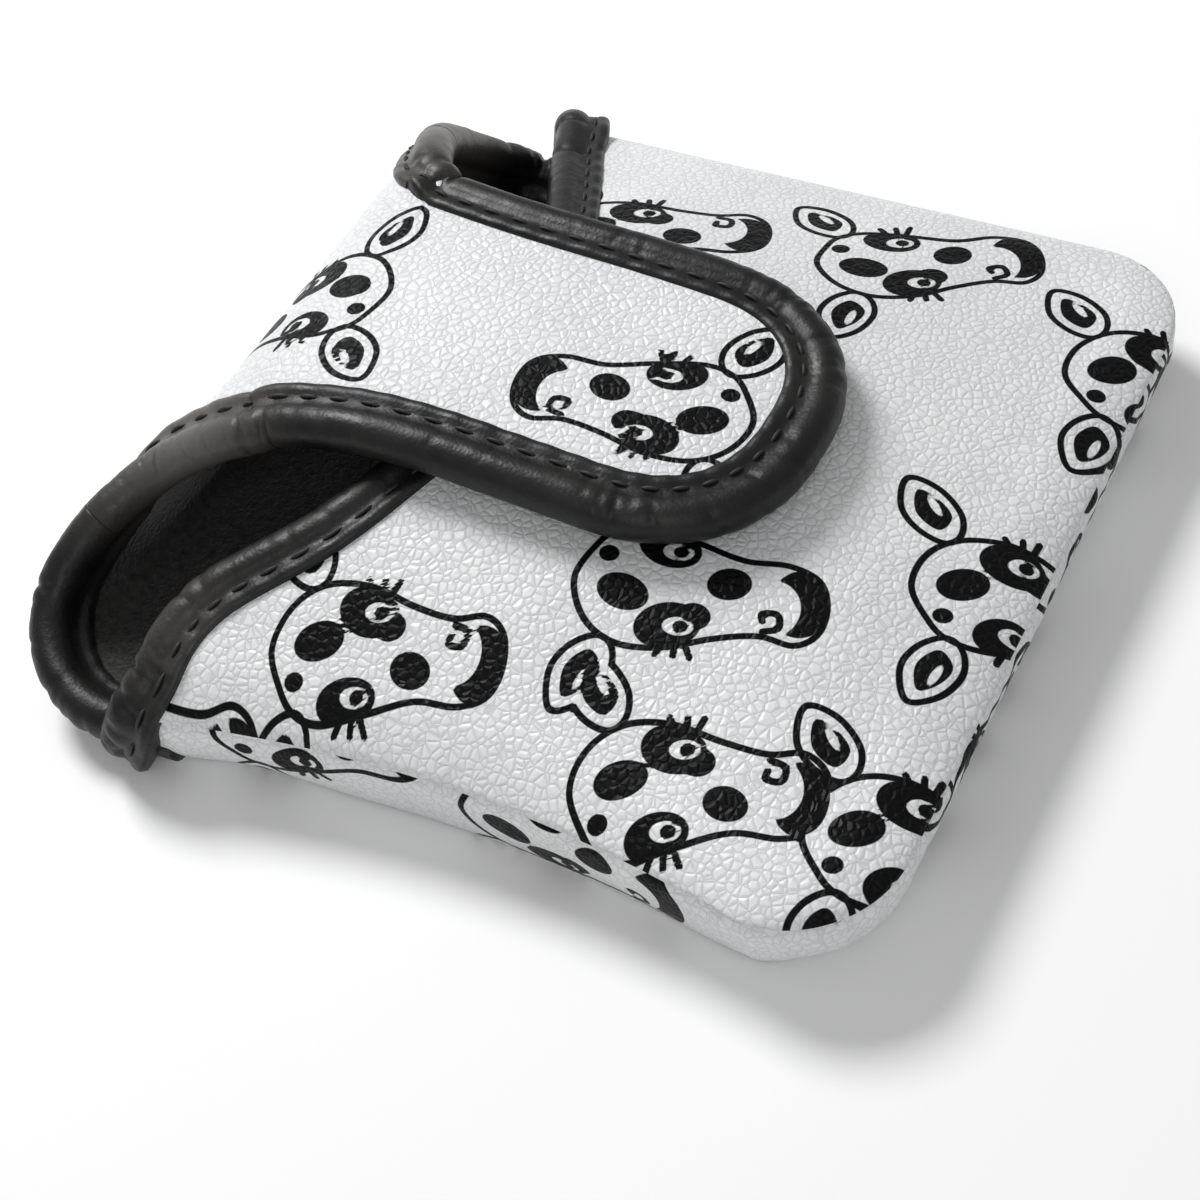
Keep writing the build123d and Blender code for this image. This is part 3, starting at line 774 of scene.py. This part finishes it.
def cells(nodes, links, size_mm, smooth=0.35, feature="SMOOTH_F1"):
    """A cell pattern on the object's own coordinates."""
    place = nodes.new("ShaderNodeTexCoord")
    texture = nodes.new("ShaderNodeTexVoronoi")
    texture.feature = feature
    texture.inputs["Scale"].default_value = 1000 / size_mm
    if feature == "SMOOTH_F1":
        texture.inputs["Smoothness"].default_value = smooth
    links.new(place.outputs["Object"], texture.inputs["Vector"])
    return texture.outputs["Distance"]


def grain(nodes, links, size_mm, detail=3.0, rough=0.55):
    place = nodes.new("ShaderNodeTexCoord")
    texture = nodes.new("ShaderNodeTexNoise")
    texture.inputs["Scale"].default_value = 1000 / size_mm
    texture.inputs["Detail"].default_value = detail
    texture.inputs["Roughness"].default_value = rough
    links.new(place.outputs["Object"], texture.inputs["Vector"])
    return texture.outputs["Fac"]


def remap(nodes, links, value, low, high, to_low, to_high):
    node = nodes.new("ShaderNodeMapRange")
    for key, number in (("From Min", low), ("From Max", high), ("To Min", to_low), ("To Max", to_high)):
        node.inputs[key].default_value = number
    links.new(value, node.inputs["Value"])
    return node.outputs["Result"]


def blend_color(nodes, links, factor, first, second):
    """Mix two colours; each is a colour or another node's output."""
    node = nodes.new("ShaderNodeMix")
    node.data_type = "RGBA"
    links.new(factor, node.inputs["Factor"])
    for socket, colour in ((node.inputs[6], first), (node.inputs[7], second)):
        if isinstance(colour, tuple):
            socket.default_value = (*colour, 1)
        else:
            links.new(colour, socket)
    return node.outputs[2]


def bump(nodes, links, height, depth_mm, strength, under=None):
    node = nodes.new("ShaderNodeBump")
    node.inputs["Distance"].default_value = depth_mm * MM
    node.inputs["Strength"].default_value = strength
    links.new(height, node.inputs["Height"])
    if under is not None:
        links.new(under, node.inputs["Normal"])
    return node.outputs["Normal"]


# %% Printed leather
def printed_leather():
    material, nodes, links, shader = new_material("printed_leather", 0.4, (0.8, 0.81, 0.82))
    inked = None
    for name, pen in (("fill", 0.0), ("face", 0.46), ("ear", 0.46)):
        value = nodes.new("ShaderNodeAttribute")
        value.attribute_name = name
        value = value.outputs["Fac"]
        if pen:
            size = nodes.new("ShaderNodeMath")
            size.operation = "ABSOLUTE"
            links.new(value, size.inputs[0])
            value = size.outputs[0]
        part = remap(nodes, links, value, pen - 0.06, pen + 0.06, 1, 0)
        if inked is not None:
            join = nodes.new("ShaderNodeMath")
            join.operation = "MAXIMUM"
            links.new(inked, join.inputs[0])
            links.new(part, join.inputs[1])
            part = join.outputs[0]
        inked = part
    pebble = cells(nodes, links, 1.3, feature="DISTANCE_TO_EDGE")
    tone = remap(nodes, links, grain(nodes, links, 28.0, 2.0), 0.3, 0.7, 0.0, 1.0)
    white = blend_color(nodes, links, tone, (0.70, 0.71, 0.72), (0.79, 0.795, 0.80))
    # Painted shade: the pebble grain's grooves are darkened towards grey in the colour.
    painted_groove_shade = remap(nodes, links, pebble, 0.0, 0.1, 0.4, 0.0)
    white = blend_color(nodes, links, painted_groove_shade, white, (0.36, 0.37, 0.38))
    links.new(blend_color(nodes, links, inked, white, (0.003, 0.003, 0.003)), shader.inputs["Base Color"])
    links.new(remap(nodes, links, grain(nodes, links, 2.0), 0.3, 0.7, 0.34, 0.5), shader.inputs["Roughness"])
    coarse = bump(nodes, links, remap(nodes, links, pebble, 0.0, 0.26, 0.0, 1.0), 0.15, 0.8)
    medium = bump(nodes, links, grain(nodes, links, 3.5, 2.0), 0.3, 0.5, coarse)
    links.new(bump(nodes, links, grain(nodes, links, 0.5), 0.05, 0.6, medium), shader.inputs["Normal"])
    links.new(remap(nodes, links, inked, 0.0, 1.0, 0.42, 0.1), shader.inputs["Specular IOR Level"])
    return material


# %% Black leather, fleece, thread and the hidden pieces
def black_leather():
    material, nodes, links, shader = new_material("black_leather", 0.42, (0.035, 0.034, 0.034))
    crease = nodes.new("ShaderNodeAttribute")
    crease.attribute_name = "crease"
    worn = remap(nodes, links, grain(nodes, links, 16.0, 2.0), 0.45, 0.75, 0.0, 1.0)
    tone = blend_color(nodes, links, worn, (0.004, 0.004, 0.004), (0.016, 0.0148, 0.014))
    # Painted highlight: the edging is lightened to grey-brown over the top of the fold.
    fold_highlight = nodes.new("ShaderNodeAttribute")
    fold_highlight.attribute_name = "fold_highlight"
    painted_fold_highlight = remap(nodes, links, fold_highlight.outputs["Fac"], 0.1, 1.0, 0.0, 0.85)
    tone = blend_color(nodes, links, painted_fold_highlight, tone, (0.13, 0.12, 0.112))
    # Painted shade: the creases in the bead are darkened.
    painted_crease_shade = remap(nodes, links, crease.outputs["Fac"], 0.05, 0.4, 0.0, 0.8)
    links.new(blend_color(nodes, links, painted_crease_shade, tone, (0.003, 0.003, 0.003)), shader.inputs["Base Color"])
    links.new(remap(nodes, links, grain(nodes, links, 3.0), 0.3, 0.7, 0.36, 0.52), shader.inputs["Roughness"])
    pores = cells(nodes, links, 0.55)
    coarse = bump(nodes, links, grain(nodes, links, 2.6, 4.0), 0.22, 0.5)
    links.new(bump(nodes, links, pores, 0.05, 0.6, coarse), shader.inputs["Normal"])
    shader.inputs["Specular IOR Level"].default_value = 0.34
    return material


def pile():
    material, nodes, links, shader = new_material("fleece", 0.95, (0.03, 0.03, 0.032))
    tone = remap(nodes, links, grain(nodes, links, 1.4, 4.0), 0.3, 0.7, 0.0, 1.0)
    fibre = blend_color(nodes, links, tone, (0.004, 0.004, 0.004), (0.034, 0.033, 0.031))
    links.new(fibre, shader.inputs["Base Color"])
    links.new(bump(nodes, links, grain(nodes, links, 0.7, 5.0), 0.5, 0.9), shader.inputs["Normal"])
    shader.inputs["Sheen Weight"].default_value = 0.5
    shader.inputs["Sheen Roughness"].default_value = 0.4
    return material


def plain(name, color, roughness, metallic=0.0, size=1.0):
    """A quiet finish for pieces that are mostly hidden, with a little grain."""
    material, nodes, links, shader = new_material(name, roughness, color)
    tone = remap(nodes, links, grain(nodes, links, size), 0.3, 0.7, 0.0, 1.0)
    dark = tuple(c * 0.8 for c in color)
    links.new(blend_color(nodes, links, tone, dark, color), shader.inputs["Base Color"])
    links.new(bump(nodes, links, grain(nodes, links, size * 0.5), 0.08, 0.5), shader.inputs["Normal"])
    shader.inputs["Metallic"].default_value = metallic
    return material


WHITE, BLACK, PILE = printed_leather(), black_leather(), pile()
FOAM_FINISH = plain("foam", (0.55, 0.55, 0.55), 0.9, size=0.8)
CORE_FINISH = plain("core", (0.1, 0.1, 0.1), 0.8)
THREAD = plain("thread", (0.016, 0.016, 0.017), 0.6, size=0.3)
STEEL = plain("magnet", (0.62, 0.62, 0.64), 0.3, 1.0)
FILM = plain("sleeve", (0.7, 0.72, 0.74), 0.35)

# %% [markdown]
# ## Which piece stands for what
#
# Each new piece takes its material and hides the plain CAD solids it replaces. The still
# pieces ride on the cover's body; those that cross a living hinge are only baked in place.

# %% Dress and place
def dress(piece, material, slot, *nodes):
    piece.data.materials.clear()
    piece.data.materials.append(material)
    if nodes:
        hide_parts(*nodes)


def bend_foot(piece):
    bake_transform(piece)


def bend_fold(piece):
    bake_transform(piece)


def still(piece):
    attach(piece, "cover")


for piece, material, slot, place, nodes in (
        (top_leather, WHITE, "printed_leather", still, ["top_panel"]),
        (top_fleece, PILE, "fleece", still, ["top_lining"]),
        (gusset_leather, WHITE, "printed_leather", still, ["side_gusset"]),
        (gusset_padding, FOAM_FINISH, "foam", still, ["gusset_foam"]),
        (gusset_fleece, PILE, "fleece", still, ["gusset_lining"]),
        (bottom_leather, WHITE, "printed_leather", bend_foot, ["bottom_panel", "strap_panel"]),
        (bottom_padding, FOAM_FINISH, "foam", bend_foot, ["bottom_foam", "strap_foam"]),
        (bottom_fleece, PILE, "fleece", bend_foot, ["bottom_lining", "strap_lining"]),
        (flap_leather, WHITE, "printed_leather", bend_fold, ["flap_panel"]),
        (flap_padding, FOAM_FINISH, "foam", bend_fold, ["flap_foam"]),
        (flap_fleece, PILE, "fleece", bend_fold, ["flap_lining"]),
        (edges["near_lip"], BLACK, "black_leather", bend_foot, ["lip_binding", "strap_binding"]),
        (edges["far_lip"], BLACK, "black_leather", bend_foot, ["lip_binding", "strap_binding"]),
        (edges["flap"], BLACK, "black_leather", bend_fold, ["flap_binding"]),
        (edges["mouth"], BLACK, "black_leather", still, ["mouth_binding"]),
        (fillers["near_lip"], CORE_FINISH, "core", bend_foot, ["lip_binding_core", "strap_binding_core"]),
        (fillers["far_lip"], CORE_FINISH, "core", bend_foot, ["lip_binding_core", "strap_binding_core"]),
        (fillers["flap"], CORE_FINISH, "core", bend_fold, ["flap_binding_core"]),
        (fillers["mouth"], CORE_FINISH, "core", still, ["mouth_binding_core"]),
        (threads["near_lip"], THREAD, "thread", bend_foot, []),
        (threads["far_lip"], THREAD, "thread", bend_foot, []),
        (threads["flap"], THREAD, "thread", bend_fold, ["flap_stitches"]),
        (threads["mouth"], THREAD, "thread", still, ["mouth_stitches"])):
    dress(piece, material, slot, *nodes)
    place(piece)

for node, material in (("top_foam", FOAM_FINISH), ("top_magnets", STEEL), ("flap_magnets", STEEL),
                       ("top_magnet_sleeves", FILM), ("flap_magnet_sleeves", FILM)):
    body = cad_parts[node]
    body.data.materials.clear()
    body.data.materials.append(material)

# %% [markdown]
# ## Floor and light
#
# A pale floor and broad soft lights, one strong from the mouth side and a weaker one from
# the end, as in a small product tent.

# %% Stage
bpy.ops.object.select_all(action="DESELECT")
bpy.ops.mesh.primitive_plane_add(size=4.0, location=(0, 0, -0.0002))
floor = bpy.context.object
floor.name = "floor"
floor_finish, *_ = new_material("floor", 0.9, (0.94, 0.94, 0.94))
floor.data.materials.append(floor_finish)


def soft_light(name, place, size, power):
    data = bpy.data.lights.new(name, "AREA")
    data.shape, data.size, data.energy = "DISK", size, power
    lamp = bpy.data.objects.new(name, data)
    bpy.context.scene.collection.objects.link(lamp)
    lamp.location = place
    lamp.rotation_euler = (Vector((0.04, 0, 0.01)) - Vector(place)).to_track_quat("-Z", "Y").to_euler()


soft_light("key", (-0.40, 0.22, 0.62), 0.30, 5.3)
soft_light("fill", (0.35, -0.6, 0.6), 0.5, 1.3)
world = bpy.data.worlds.new("room")
world.use_nodes = True
world.node_tree.nodes["Background"].inputs["Color"].default_value = (1, 1, 1, 1)
world.node_tree.nodes["Background"].inputs["Strength"].default_value = 0.36
bpy.context.scene.world = world
bpy.context.scene.view_settings.view_transform = "Standard"
